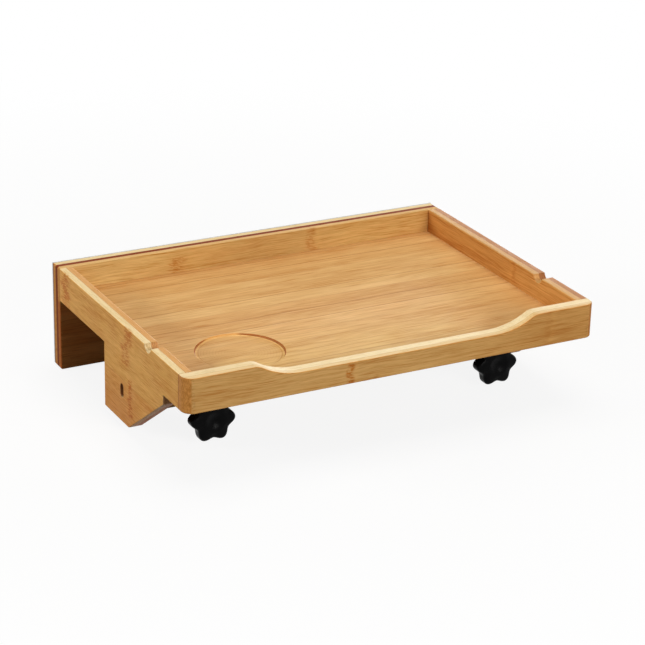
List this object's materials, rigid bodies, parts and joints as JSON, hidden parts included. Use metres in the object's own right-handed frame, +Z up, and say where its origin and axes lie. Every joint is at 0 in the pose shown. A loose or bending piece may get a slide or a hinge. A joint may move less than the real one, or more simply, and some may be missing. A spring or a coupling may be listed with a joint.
{
  "type": "clip-on bedside shelf",
  "caption": "Bamboo tray that hangs on a bed rail; a tall back board and a screw-driven jaw under the tray clamp the rail, with a scooped front, rim notches and a cup recess.",
  "frame": {"origin": "corner that the bed rail fills: middle of the width, on the tray's underside where it meets the rail face of the back board", "axes": "+X to the right seen from the tray's front, +Y from the tray's front towards the bed, +Z up"},
  "size_m": [0.4, 0.2925, 0.1],
  "materials": {
    "bamboo": "satin clear lacquer",
    "dowel_wood": "raw",
    "felt": "soft felt",
    "knob_plastic": "fine matte",
    "black_steel": "black oxide",
    "zinc_steel": "zinc plated"
  },
  "bodies": {
    "tray": {"tray_floor": "bamboo", "front_board": "bamboo", "left_side_board": "bamboo", "right_side_board": "bamboo", "back_board": "bamboo", "back_pad": "felt", "clamp_bar": "bamboo", "left_thread_insert": "zinc_steel", "right_thread_insert": "zinc_steel", "bar_screws": "black_steel", "bar_dowels": "dowel_wood", "corner_dowels": "dowel_wood", "back_board_screws": "zinc_steel"},
    "jaw": {"clamp_jaw": "bamboo", "jaw_pad": "felt", "left_thrust_washer": "zinc_steel", "right_thrust_washer": "zinc_steel", "left_pocket_washer": "zinc_steel", "right_pocket_washer": "zinc_steel"},
    "left_screw": {"left_clamp_screw": "zinc_steel", "left_lock_nut": "zinc_steel", "left_knob": "knob_plastic"},
    "right_screw": {"right_clamp_screw": "zinc_steel", "right_lock_nut": "zinc_steel", "right_knob": "knob_plastic"}
  },
  "joints": [
    {"name": "jaw_slide", "type": "slide", "parent": "tray", "child": "jaw", "axis": [0, 1, 0], "range_m": [-0.064, 0.029]},
    {"name": "left_screw_turn", "type": "hinge", "parent": "jaw", "child": "left_screw", "pos_m": [-0.1428, -0.142, -0.043], "axis": [0, 1, 0], "range_deg": [-18433, 8353]},
    {"name": "right_screw_turn", "type": "hinge", "parent": "jaw", "child": "right_screw", "pos_m": [0.1428, -0.142, -0.043], "axis": [0, 1, 0], "range_deg": [-18433, 8353]}
  ],
  "couplings": [
    {"joint": "left_screw_turn", "follows": "jaw_slide", "rad_per_m": 5026.5},
    {"joint": "right_screw_turn", "follows": "jaw_slide", "rad_per_m": 5026.5}
  ]
}
